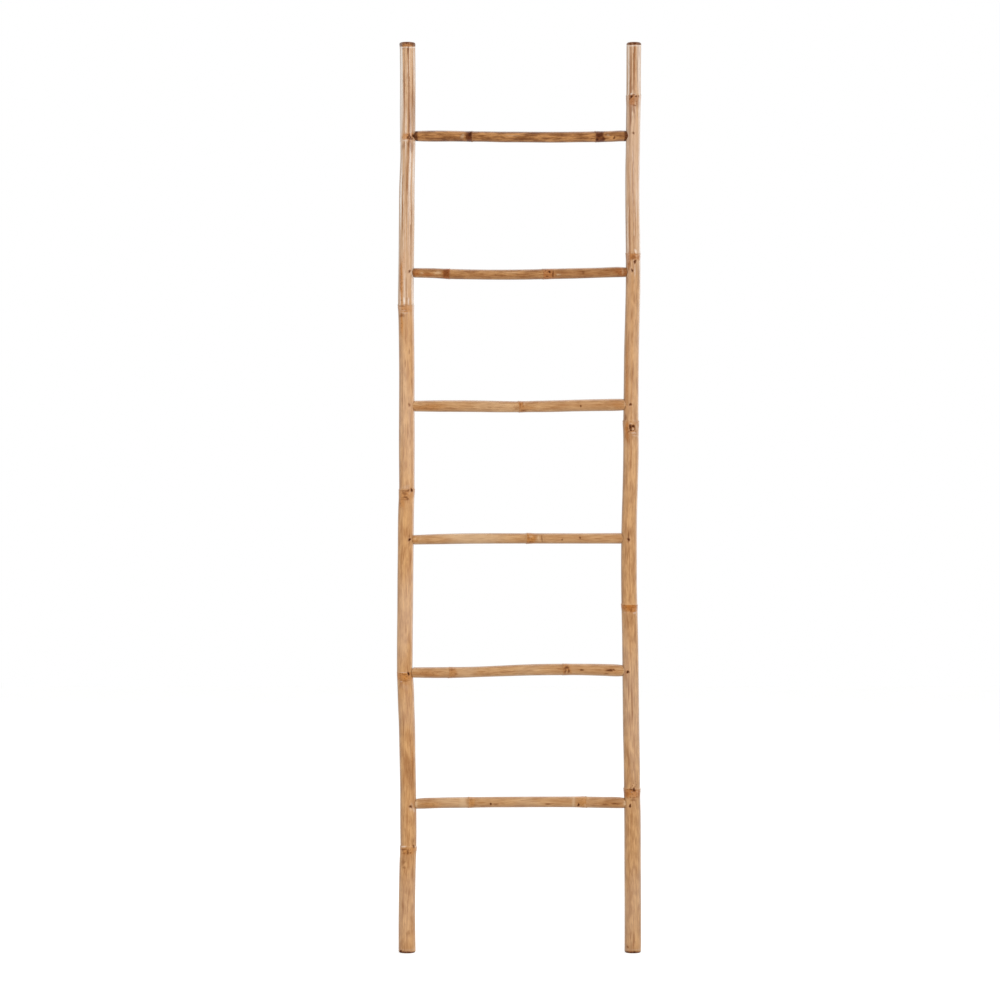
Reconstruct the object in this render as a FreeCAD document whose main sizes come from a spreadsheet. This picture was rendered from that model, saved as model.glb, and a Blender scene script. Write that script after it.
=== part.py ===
import FreeCAD, Part
import os

import Sketcher

# Bamboo towel ladder: two upright culms and six culm rungs, each rung tenoned and nailed at both ends
# Millimetres. +X is right, +Y is the back, +Z is up. The origin is on the floor, midway between the poles

SIZES = (
    ("ladder_height", 1900),
    ("pole_spacing", 470),
    ("foot_overhang", 311),
    ("top_overhang", 195),
    ("pole_diameter", 33),
    ("pole_wall", 5.5),
    ("pole_wander", 6),
    ("pole_node_rise", 1.2),
    ("pole_node_band", 8),
    ("pole_diaphragm", 6),
    ("pole_end_chamfer", 1.6),
    ("rung_diameter", 23),
    ("rung_bow", 5),
    ("rung_node_rise", 0.9),
    ("rung_node_band", 4),
    ("shoulder_length", 3),
    ("shoulder_root", 0.5),
    ("neck_length", 2),
    ("tenon_diameter", 17),
    ("tenon_past_axis", 5),
    ("tenon_clearance", 0.1),
    ("mortise_spare", 1),
    ("nail_length", 24),
    ("nail_width", 1.6),
    ("nail_thickness", 1.4),
    ("nail_point", 2.5),
    ("nail_head_width", 2.9),
    ("nail_head_thickness", 1),
    ("nail_sink", 1.2),
    ("nail_inset", 7.5),
    ("nail_drift", 5),
    ("nail_clearance", 0.05),
    ("slot_spare", 0.5),
    ("overrun", 5),
)

# Places up the ladder: 0 the floor, 1 the lowest rung, 2 the top rung, 3 the pole's end
# Nodes of a pole from the floor up: place, wander to the right, rise of the ring
LEFT_NODE_SHARES = (
    (0.690, 0.31, 1.0),
    (1.190, -0.52, 1.1),
    (1.463, -0.03, 1.0),
    (1.746, -0.21, 0.8),
    (1.9955, 0.35, 0.7),
)
RIGHT_NODE_SHARES = (
    (1.016, 0.28, 1.1),
    (1.291, -0.91, 1.0),
    (1.5626, -0.24, 0.9),
    (1.8187, 0.42, 0.8),
    (2.375, 0.66, 0.9),
)
# Girth of each internode from the floor up
LEFT_GIRTH_SHARES = (1.025, 1.005, 0.980, 0.975, 0.953, 0.987)
RIGHT_GIRTH_SHARES = (1.038, 1.006, 0.972, 0.934, 0.908, 0.911)
# Rungs from the lowest up: the place of the left and the right joint, and the part of a ring it meets
JOINT_SHARES = (
    (1.0000, 1.0011, 0, 0),
    (1.1957, 1.1998, 1.1, 0),
    (1.3950, 1.3973, 0, 0),
    (1.5954, 1.5976, 0, 0),
    (1.7951, 1.7964, 0, 0),
    (2.0000, 2.0000, 0.7, 0),
)
# Nodes of each rung from the left shoulder: place between the shoulders, upward bow, rise of the ring
RUNG_NODE_SHARES = (
    ((0.274, 0.48, 0.9), (0.787, 0.45, 0.9)),
    ((0.177, -0.12, 0.9), (0.717, 0.55, 0.8)),
    ((0.567, 0.35, 1.0),),
    ((0.512, -0.62, 0.9),),
    ((0.143, -0.50, 0.8), (0.645, -0.85, 0.9)),
    ((0.255, -0.15, 0.8), (0.878, -0.40, 0.9)),
)
RUNG_GIRTH_SHARES = (
    (1.010, 0.945, 1.000),
    (0.950, 1.030, 1.060),
    (0.975, 0.940),
    (1.040, 1.035),
    (0.945, 0.925, 0.965),
    (0.945, 1.000, 0.965),
)
# Along a culm through a node's ring: distances from its middle, in bands
RING_FOOT_SHARE = -0.5
RING_RIDGE_SHARE = 0.05
RING_TOP_SHARE = 0.5
# Sides of an internode's hollow
HOLLOW_SIDES = 12
# Nails, from the lowest rung up: inset towards the rung and drift upward, at the left and the right
NAIL_SHARES = (
    (1.10, -1.00, 0.74, -1.00),
    (1.00, -0.24, 0.75, -0.60),
    (1.00, 0.12, 0.43, -0.46),
    (0.90, 0.42, 0.32, 0.00),
    (0.96, 0.40, 0.28, 0.42),
    (0.90, -0.80, 0.08, 0.92),
)

LEFT, RIGHT = -1, 1
SIDE_NAMES = {LEFT: "left", RIGHT: "right"}
NODE_SHARES = {LEFT: LEFT_NODE_SHARES, RIGHT: RIGHT_NODE_SHARES}
GIRTH_SHARES = {LEFT: LEFT_GIRTH_SHARES, RIGHT: RIGHT_GIRTH_SHARES}


# Texts for expressions over the sheet
def size(name, share=1):
    return f"({share:.6g}) * Sizes.{name}"


def height(place):
    """Height of a place up the ladder over the floor."""
    if place <= 1:
        return size("foot_overhang", place)
    if place >= 2:
        return f"(Sizes.ladder_height - {size('top_overhang', 3 - place)})"
    span = "(Sizes.ladder_height - Sizes.foot_overhang - Sizes.top_overhang)"
    return f"(Sizes.foot_overhang + ({place - 1:.6g}) * {span})"


def pole_points(side):
    """Where a pole's axis bends: its foot, its nodes and its top. The end internodes stand upright."""
    nodes = [(size("pole_wander", wander), height(place)) for place, wander, _ in NODE_SHARES[side]]
    return [(nodes[0][0], "0"), *nodes, (nodes[-1][0], "Sizes.ladder_height")]


def internode_at(side, place):
    return sum(place > node[0] for node in NODE_SHARES[side])


def pole_axis(side, place):
    """How far right of the pole's own origin its axis is, at a place up the ladder."""
    index = internode_at(side, place)
    (low_x, low_z), (high_x, high_z) = pole_points(side)[index : index + 2]
    part = f"({height(place)} - ({low_z})) / (({high_z}) - ({low_z}))"
    return f"({low_x} + (({high_x}) - ({low_x})) * {part})"


def culm_radii(name, girths):
    return [size(f"{name}_diameter", girth / 2) for girth in girths]


def ridge_radii(name, girths, nodes):
    """The radius of each node's ridge: its rise over the thicker of the internodes that it parts."""
    thicker = culm_radii(name, [max(pair) for pair in zip(girths, girths[1:])])
    rises = [size(f"{name}_node_rise", node[-1]) for node in nodes]
    return [f"({radius} + {rise})" for radius, rise in zip(thicker, rises)]


def joint_place(index, side):
    return JOINT_SHARES[index][0 if side == LEFT else 1]


def joint_radius(index, side):
    """The pole's outer radius where a rung meets it, with the ring of a node that is there."""
    radius = culm_radii("pole", GIRTH_SHARES[side])[internode_at(side, joint_place(index, side))]
    ring = JOINT_SHARES[index][2 if side == LEFT else 3]
    return f"({radius} + {size('pole_node_rise', ring)})"


def joint_axis(index, side):
    """How far right of the ladder's middle plane the pole's axis is at a joint."""
    return f"(({side}) * Sizes.pole_spacing / 2 + {pole_axis(side, joint_place(index, side))})"


def shoulder(index, side):
    """How far right of the ladder's middle plane the rung's shoulder is, a short neck off the pole."""
    return f"({joint_axis(index, side)} - ({side}) * ({joint_radius(index, side)} + Sizes.neck_length))"


def tenon_end(index, side):
    return f"({joint_axis(index, side)} + ({side}) * Sizes.tenon_past_axis)"


def nail_place(index, side):
    """A nail's place: right of the pole's axis, towards the rung, and up from the rung's axis."""
    inset, drift = NAIL_SHARES[index][:2] if side == LEFT else NAIL_SHARES[index][2:]
    return size("nail_inset", -side * inset), size("nail_drift", drift)


def nail_seat(index, side):
    """How far behind the ladder's middle plane the underside of the nail's head is: a negative depth."""
    inset = nail_place(index, side)[0]
    return f"(Sizes.nail_sink - sqrt({joint_radius(index, side)}^2 - ({inset})^2))"


# Sketches
def own_plane(body, role):
    for item in body.Origin.OriginFeatures:
        if item.Role == role:
            return item
    raise ValueError(f"no plane {role}")


def new_sketch(body, name, role, offset):
    """A sketch on one of the body's planes, moved by three texts: across, up and out of the plane."""
    sketch = body.newObject("Sketcher::SketchObject", name)
    sketch.AttachmentSupport = (own_plane(body, role), [""])
    sketch.MapMode = "FlatFace"
    for axis, text in zip("xyz", offset):
        sketch.setExpression(f"AttachmentOffset.Base.{axis}", text)
    return sketch


def draw_circle(sketch, radius):
    start = float(sketch.evalExpression(radius))
    sketch.addGeometry(Part.Circle(FreeCAD.Vector(), FreeCAD.Vector(0, 0, 1), start), False)
    sketch.addConstraint(Sketcher.Constraint("Coincident", 0, 3, -1, 1))
    number = sketch.addConstraint(Sketcher.Constraint("Radius", 0, start))
    sketch.setExpression(f"Constraints[{number}]", radius)
    return sketch


def draw_outline(sketch, points):
    """A closed outline of straight lines whose corners are pairs of texts; 0 lies on the sketch's axis."""
    starts = [FreeCAD.Vector(*(float(sketch.evalExpression(text)) for text in point)) for point in points]
    count = len(points)
    for index in range(count):
        sketch.addGeometry(Part.LineSegment(starts[index], starts[(index + 1) % count]), False)
    for index in range(count):
        sketch.addConstraint(Sketcher.Constraint("Coincident", index, 2, (index + 1) % count, 1))
    for index, (start, point) in enumerate(zip(starts, points)):
        for kind, axis, value, text in zip(("DistanceX", "DistanceY"), (-2, -1), start, point):
            if text == "0":
                sketch.addConstraint(Sketcher.Constraint("PointOnObject", index, 1, axis))
                continue
            number = sketch.addConstraint(Sketcher.Constraint(kind, -1, 1, index, 1, value))
            sketch.setExpression(f"Constraints[{number}]", text)
    return sketch


# Features
def new_body(document, name, place):
    body = document.addObject("PartDesign::Body", name)
    body.Label = name
    for axis, text in zip("xyz", place):
        body.setExpression(f"Placement.Base.{axis}", text)
    return body


def new_feature(body, kind, name, sketch):
    feature = body.newObject(f"PartDesign::{kind}", name)
    feature.Profile = sketch
    feature.Refine = False
    return feature


def turn(body, name, start, end, points):
    """A full turn about the line from start to end, in the plane where the ladder's axes lie."""
    across, up = (f"(({end[axis]}) - ({start[axis]}))" for axis in (0, 1))
    sketch = new_sketch(body, f"{name}_section", "XZ_Plane", (*start, "0"))
    sketch.setExpression("AttachmentOffset.Rotation.Angle", f"-atan2({across}; {up})")
    draw_outline(sketch, points)
    feature = new_feature(body, "Revolution", name, sketch)
    feature.ReferenceAxis = (sketch, ["V_Axis"])
    feature.Angle = 360


def distance(start, end):
    across, up = (f"(({end[axis]}) - ({start[axis]}))" for axis in (0, 1))
    return f"sqrt({across}^2 + {up}^2)"


def make_culm(body, name, points, radii, ridges, band, ends, chamfer):
    """Straight internodes from bend to bend, each turned with the ring of the node at its far end."""
    last = len(radii) - 1
    inside = f"({RING_RIDGE_SHARE}) * {band}"
    for index, radius in enumerate(radii):
        start, end = points[index : index + 2]
        length = distance(start, end)
        if index == 0:
            outline = [("0", "0"), (ends[0], "0"), (radius, chamfer)]
        else:
            outline = [("0", inside), (radius, inside)]
        if index == last:
            outline += [(radius, f"{length} - {chamfer}"), (ends[1], length), ("0", length)]
        else:
            foot, ridge, top = (
                f"{length} + ({share}) * {band}"
                for share in (RING_FOOT_SHARE, RING_RIDGE_SHARE, RING_TOP_SHARE)
            )
            following = radii[index + 1]
            under = f"2 * {following} - {ridges[index]}"
            outline += [(radius, foot), (ridges[index], ridge), (under, top), ("0", top)]
        turn(body, f"{name}_internode", start, end, outline)


def make_hollows(body, name, points, radii):
    """The hollow of each internode, from diaphragm to diaphragm or out of a sawn end."""
    last = len(radii) - 1
    for index, radius in enumerate(radii):
        start, end = points[index : index + 2]
        feature = body.newObject("PartDesign::SubtractivePrism", f"{name}_hollow")
        feature.AttachmentSupport = (own_plane(body, "XY_Plane"), [""])
        feature.MapMode = "FlatFace"
        feature.AttachmentOffset = FreeCAD.Placement(FreeCAD.Vector(), FreeCAD.Rotation(0, 1, 0))
        across, up = (f"(({end[axis]}) - ({start[axis]}))" for axis in (0, 1))
        low = "-Sizes.overrun" if index == 0 else "Sizes.pole_diaphragm / 2"
        past = "Sizes.overrun" if index == last else "-Sizes.pole_diaphragm / 2"
        feature.setExpression("AttachmentOffset.Base.x", start[0])
        feature.setExpression("AttachmentOffset.Base.z", f"({start[1]}) + {low}")
        feature.setExpression("AttachmentOffset.Rotation.Angle", f"atan2({across}; {up})")
        feature.Polygon = HOLLOW_SIDES
        feature.setExpression("Circumradius", f"{radius} - Sizes.pole_wall")
        feature.setExpression("Height", f"{distance(start, end)} + ({past}) - ({low})")
        feature.Refine = False


def make_mortise(body, name, index, side):
    """A blind bore across the pole's inner wall, a little deeper than the tenon."""
    place = joint_place(index, side)
    bottom = f"{pole_axis(side, place)} + ({side}) * (Sizes.tenon_past_axis + Sizes.mortise_spare)"
    sketch = new_sketch(body, f"{name}_mortise_section", "YZ_Plane", ("0", height(place), bottom))
    draw_circle(sketch, "Sizes.tenon_diameter / 2 + Sizes.tenon_clearance")
    feature = new_feature(body, "Pocket", f"{name}_mortise", sketch)
    feature.Type = "ThroughAll"
    feature.Reversed = side == LEFT


def make_slot(body, name, place, outline):
    """The room of a nail, cut as thick as its wire in the plane that its head and shank share."""
    across, up = place
    sketch = draw_outline(new_sketch(body, f"{name}_slot_section", "YZ_Plane", ("0", up, across)), outline)
    feature = new_feature(body, "Pocket", f"{name}_slot", sketch)
    feature.Midplane = True
    feature.setExpression("Length", "Sizes.nail_thickness + 2 * Sizes.nail_clearance")


def make_pole_slot(body, name, index, side):
    """A nail's way through the front wall, wider where its head is seated."""
    place = joint_place(index, side)
    inset, drift = nail_place(index, side)
    shank = "(Sizes.nail_width / 2 + Sizes.nail_clearance)"
    head = "(Sizes.nail_head_width / 2 + Sizes.nail_clearance)"
    seat = nail_seat(index, side)
    front = f"-({joint_radius(index, side)} + Sizes.overrun)"
    half = [("0", shank), (seat, shank), (seat, head), (front, head)]
    outline = half + [(depth, f"-{width}") for depth, width in reversed(half)]
    across = f"{pole_axis(side, place)} + {inset}"
    make_slot(body, name, (across, f"{height(place)} + {drift}"), outline)


def make_pole(document, side):
    name = f"{SIDE_NAMES[side]}_pole"
    body = new_body(document, name, (f"({side}) * Sizes.pole_spacing / 2", "0", "0"))
    points = pole_points(side)
    radii = culm_radii("pole", GIRTH_SHARES[side])
    ridges = ridge_radii("pole", GIRTH_SHARES[side], NODE_SHARES[side])
    chamfer = "Sizes.pole_end_chamfer"
    ends = [f"{radii[0]} - {chamfer}", f"{radii[-1]} - {chamfer}"]
    make_culm(body, name, points, radii, ridges, "Sizes.pole_node_band", ends, chamfer)
    make_hollows(body, name, points, radii)
    for index in range(len(JOINT_SHARES)):
        make_mortise(body, name, index, side)
        make_pole_slot(body, name, index, side)
    return body


def make_rung(document, index):
    """A culm between the poles: its own origin is on its left joint's axis, in the middle plane."""
    name = f"rung_{index + 1}"
    level = height(joint_place(index, LEFT))
    body = new_body(document, name, ("0", "0", level))
    levels = {LEFT: "0", RIGHT: f"({height(joint_place(index, RIGHT))} - {level})"}
    left, right = shoulder(index, LEFT), shoulder(index, RIGHT)
    points = [(left, "0")]
    for share, bow, _ in RUNG_NODE_SHARES[index]:
        across = f"({left} + ({share}) * ({right} - {left}))"
        points.append((across, f"({share}) * {levels[RIGHT]} + {size('rung_bow', bow)}"))
    points.append((right, levels[RIGHT]))
    radii = culm_radii("rung", RUNG_GIRTH_SHARES[index])
    ridges = ridge_radii("rung", RUNG_GIRTH_SHARES[index], RUNG_NODE_SHARES[index])
    ends = ["Sizes.tenon_diameter / 2 - Sizes.shoulder_root"] * 2
    make_culm(body, name, points, radii, ridges, "Sizes.rung_node_band", ends, "Sizes.shoulder_length")
    for side in (LEFT, RIGHT):
        make_tenon(body, name, index, side, levels[side])
        make_rung_slot(body, name, index, side, levels[side])
    return body


def make_tenon(body, name, index, side, level):
    """A round tenon square to the pole, from inside the rung's shoulder to past the pole's axis."""
    end = tenon_end(index, side)
    sketch = new_sketch(body, f"{name}_tenon_section", "YZ_Plane", ("0", level, end))
    draw_circle(sketch, "Sizes.tenon_diameter / 2")
    feature = new_feature(body, "Pad", f"{name}_tenon", sketch)
    inside = f"({shoulder(index, side)} - ({side}) * Sizes.shoulder_length)"
    feature.setExpression("Length", f"({side}) * ({end} - {inside})")
    feature.Reversed = side == RIGHT


def make_rung_slot(body, name, index, side, level):
    """The nail's way through the tenon, a little deeper than its point."""
    inset, drift = nail_place(index, side)
    shank = "(Sizes.nail_width / 2 + Sizes.nail_clearance)"
    tip = f"({nail_seat(index, side)} + Sizes.nail_length - Sizes.nail_head_thickness)"
    deep = f"{tip} + Sizes.slot_spare"
    front = "-(Sizes.tenon_diameter / 2 + Sizes.overrun)"
    outline = [(deep, shank), (front, shank), (front, f"-{shank}"), (deep, f"-{shank}")]
    across = f"{joint_axis(index, side)} + {inset}"
    make_slot(body, name, (across, f"{level} + {drift}"), outline)


def make_nail(document, index, side):
    """A finish nail of flat wire, driven straight back; its origin is on the underside of its head."""
    name = f"nail_{index + 1}_{SIDE_NAMES[side]}"
    inset, drift = nail_place(index, side)
    across = f"{joint_axis(index, side)} + {inset}"
    up = f"{height(joint_place(index, side))} + {drift}"
    body = new_body(document, name, (across, nail_seat(index, side), up))
    shank, head = "Sizes.nail_width / 2", "Sizes.nail_head_width / 2"
    top = "(-1) * Sizes.nail_head_thickness"
    tip = "Sizes.nail_length - Sizes.nail_head_thickness"
    half = [(top, head), ("0", head), ("0", shank), (f"{tip} - Sizes.nail_point", shank)]
    outline = half + [(tip, "0")] + [(depth, f"-({width})") for depth, width in reversed(half)]
    sketch = draw_outline(new_sketch(body, f"{name}_outline", "YZ_Plane", ("0", "0", "0")), outline)
    feature = new_feature(body, "Pad", f"{name}_wire", sketch)
    feature.Midplane = True
    feature.setExpression("Length", "Sizes.nail_thickness")
    return body


def make_sheet(document):
    sheet = document.addObject("Spreadsheet::Sheet", "Sizes")
    for row, (alias, value) in enumerate(SIZES, 1):
        sheet.set(f"A{row}", alias)
        sheet.set(f"B{row}", str(value))
        sheet.setAlias(f"B{row}", alias)
    document.recompute()


def check(document, bodies):
    """Stops if any object failed, any feature did nothing, or any sub-part isn't one valid solid."""
    for item in document.Objects:
        if "Invalid" in item.State or "Error" in item.State:
            raise RuntimeError(f"{item.Name} failed: {item.State}")
    for body in bodies:
        volume = 0
        for item in body.Group:
            if not item.isDerivedFrom("PartDesign::Feature"):
                continue
            grows = item.TypeId in ("PartDesign::Revolution", "PartDesign::Pad")
            if (item.Shape.Volume > volume) != grows:
                raise RuntimeError(f"{item.Name} works the wrong way")
            volume = item.Shape.Volume
        shape = body.Shape
        if shape.isNull() or not shape.isValid() or len(shape.Solids) != 1:
            raise RuntimeError(f"{body.Label} isn't one valid solid")


def main():
    document = FreeCAD.newDocument("towel_ladder")
    make_sheet(document)
    bodies = [make_pole(document, side) for side in (LEFT, RIGHT)]
    for index in range(len(JOINT_SHARES)):
        bodies.append(make_rung(document, index))
        bodies.extend(make_nail(document, index, side) for side in (LEFT, RIGHT))
    document.recompute()
    check(document, bodies)
    os.makedirs("parts", exist_ok=True)
    for body in bodies:
        body.Shape.exportStep(os.path.join("parts", f"{body.Label}.step"))
        box = body.Shape.BoundBox
        print(f"{body.Label}: {body.Shape.Volume / 1000:.2f} cm3, foot {box.ZMin:.1f}, top {box.ZMax:.1f}")


main()
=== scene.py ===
import math
from functools import partial

import bpy
import numpy as np
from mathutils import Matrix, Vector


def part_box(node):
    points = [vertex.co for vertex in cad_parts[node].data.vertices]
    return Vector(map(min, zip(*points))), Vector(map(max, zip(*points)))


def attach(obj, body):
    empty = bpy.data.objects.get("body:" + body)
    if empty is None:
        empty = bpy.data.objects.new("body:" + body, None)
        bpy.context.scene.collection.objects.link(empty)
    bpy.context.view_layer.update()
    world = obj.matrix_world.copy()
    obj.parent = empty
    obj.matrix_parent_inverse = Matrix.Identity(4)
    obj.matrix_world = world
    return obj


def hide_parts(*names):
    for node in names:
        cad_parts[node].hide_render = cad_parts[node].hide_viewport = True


# The bamboo towel ladder's looks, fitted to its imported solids
# Metres. +X is right, +Y is the back, +Z is up. The origin is on the floor, midway between the poles

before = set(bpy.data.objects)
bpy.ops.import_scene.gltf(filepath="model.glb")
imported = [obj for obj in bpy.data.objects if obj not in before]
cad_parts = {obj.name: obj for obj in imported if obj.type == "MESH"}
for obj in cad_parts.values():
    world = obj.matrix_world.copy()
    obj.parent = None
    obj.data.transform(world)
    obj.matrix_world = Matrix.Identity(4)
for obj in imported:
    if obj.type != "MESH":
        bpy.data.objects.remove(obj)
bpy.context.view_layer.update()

MM = 0.001
# The photograph's scale in the ladder's plane, and the pixel of the origin
PIXEL = 2.0888 * MM
ORIGIN_PX = (519.2, 952.3)
PICTURE_PX = 1000
CAMERA_DISTANCE = 6.3
SENSOR_WIDTH = 36
LADDER_HEIGHT = 1.9

POLE_COLUMNS = 96
RUNG_COLUMNS = 72
NAIL_COLUMNS = 20
CHANCE = np.random.default_rng(27)

# Poles: wall, gap from a scar to its diaphragm, rounding of the rims and its drop at either end, how far the
# browned rim dips at the front, and the heights at which the foot's brown ends
POLE_WALL = 5.5 * MM
DIAPHRAGM_GAP = 3 * MM
RIM_ROUNDING, FOOT_DROP, TOP_DROP = 3.4 * MM, 4.6 * MM, 3.6 * MM
FRONT_DIP = 2.2 * MM
FOOT_BURN = (2.4 * MM, 5.5 * MM)
# Rungs: bevel and gap where they meet a pole, half of the pole's height that the gap is kept over, and tenons
RUNG_BEVEL, RUNG_GAP, RUNG_REACH = 0.7 * MM, 0.25 * MM, 13 * MM
TENON_RADIUS, TENON_TIP = 8.4 * MM, 0.3 * MM
# Nails: half sizes of the stain around one, half sizes and depth of the paler ring, and length of the point
NAIL_STAIN = (3 * MM, 3.8 * MM)
NAIL_HALO = (4.4 * MM, 6 * MM, -0.07)
NAIL_POINT = 3 * MM
# Marks under this half length in mm have finer rows of points, and knots between these depths turn into pits
SHORT_MARK = 5
PIT_DEPTHS = (0.55, 0.9)
# Marks by chance: knots to a scar, their distance in mm, size in mm and place around in half turns, then the
# number of streaks, their depth, half width and half length in mm
POLE_CHANCES = (5, (0, 16), (1.6, 4), (0.1, 0.9), 90, (0.12, 0.38), (0.7, 1.4), (4, 24))
RUNG_CHANCES = (4, (-8, 8), (1, 2.2), (0.6, 1.4), 44, (0.12, 0.42), (0.6, 1.3), (3, 15))
# The values kept at each point of a culm's skin for its colours
FIELDS = ("band", "scar", "dark", "pale", "stain", "scrape", "tone", "ridge_highlight", "burnt", "cut")

# Poles, from the top down: row in the picture, middle and width of the culm there
LEFT_POLE_PX = (
    (43, 407.4, 16.2), (47, 407.5, 15.6), (60, 407.7, 15.5), (124, 407.7, 15.5), (142, 407.8, 15.2), (156, 407.7, 14.9),
    (172, 407.3, 15), (188, 406.9, 15.4), (220, 406.7, 15.6), (252, 406.3, 15.5), (284, 405.9, 15.6),
    (305, 405.9, 15.7), (324, 406.3, 15.5), (356, 406.7, 15.4), (412, 406.8, 15.6), (444, 406.8, 15.8),
    (476, 406.8, 15.4), (490, 406.8, 15.3), (503, 406.3, 15.6), (556, 405.6, 15.8), (604, 405.2, 15.8),
    (652, 404.8, 15.8), (673, 404.85, 15.7), (684, 405.5, 16.3), (708, 406.3, 16.3), (724, 406.9, 16.1),
    (756, 407.5, 15.9), (788, 408.1, 15.9), (836, 408.4, 16.3), (846, 408.4, 16.1), (860, 407.8, 16.5),
    (876, 407.4, 16.5), (908, 406.9, 16.6), (930, 406.9, 16.9), (952, 407.1, 17.2),
)
RIGHT_POLE_PX = (
    (43, 633.9, 14.8), (60, 633.7, 14.5), (84, 633.6, 14.4), (97, 633.5, 14.4), (124, 633.1, 14.3), (148, 632.8, 14.2),
    (172, 632.4, 14.3), (204, 632.4, 14.2), (236, 632.8, 14.4), (254, 633, 14.5), (284, 633, 14.6), (316, 632.4, 14.6),
    (348, 631.6, 14.9), (396, 631.1, 15), (421, 630.9, 15.4), (452, 631, 15.6), (484, 630.3, 15.3), (516, 629.4, 15.4),
    (556, 629, 15.9), (588, 629.1, 15.9), (606, 629.4, 16), (636, 630.1, 16.1), (684, 630.7, 16.3), (724, 631.1, 16.3),
    (772, 631.9, 16.2), (788, 632, 16.1), (812, 632.4, 16.5), (860, 632.6, 16.6), (908, 632.8, 16.7),
    (952, 632.8, 16.7),
)
# Nodes of a pole: row of the scar, swelling and its length, length of the coloured band below the scar, above
# it if below 0, colour of the band, and darkness of the scar
LEFT_NODES = (
    (141.4, 0.4, 9.4, -15.5, 0.35, 0.2), (305.5, 0.9, 9.4, 15.5, 0.4, 0.3), (489.8, 1, 11.5, 20, 0.45, 0.1),
    (672.3, 0.35, 10.5, 17, 0.9, 0.15), (846.9, 1.1, 8.8, 14, 0.45, 0.1),
)
RIGHT_NODES = (
    (95.8, 0.9, 12, 21, 0.2, 0), (254, 0.7, 7.2, 13, 0.7, 0.1), (421.5, 1.3, 16, 29, 0.2, 0.1),
    (604.8, 0.9, 8.3, 9.5, 1, 0.15), (788.6, 1.2, 9.9, 17, 0.85, 0.1),
)
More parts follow.
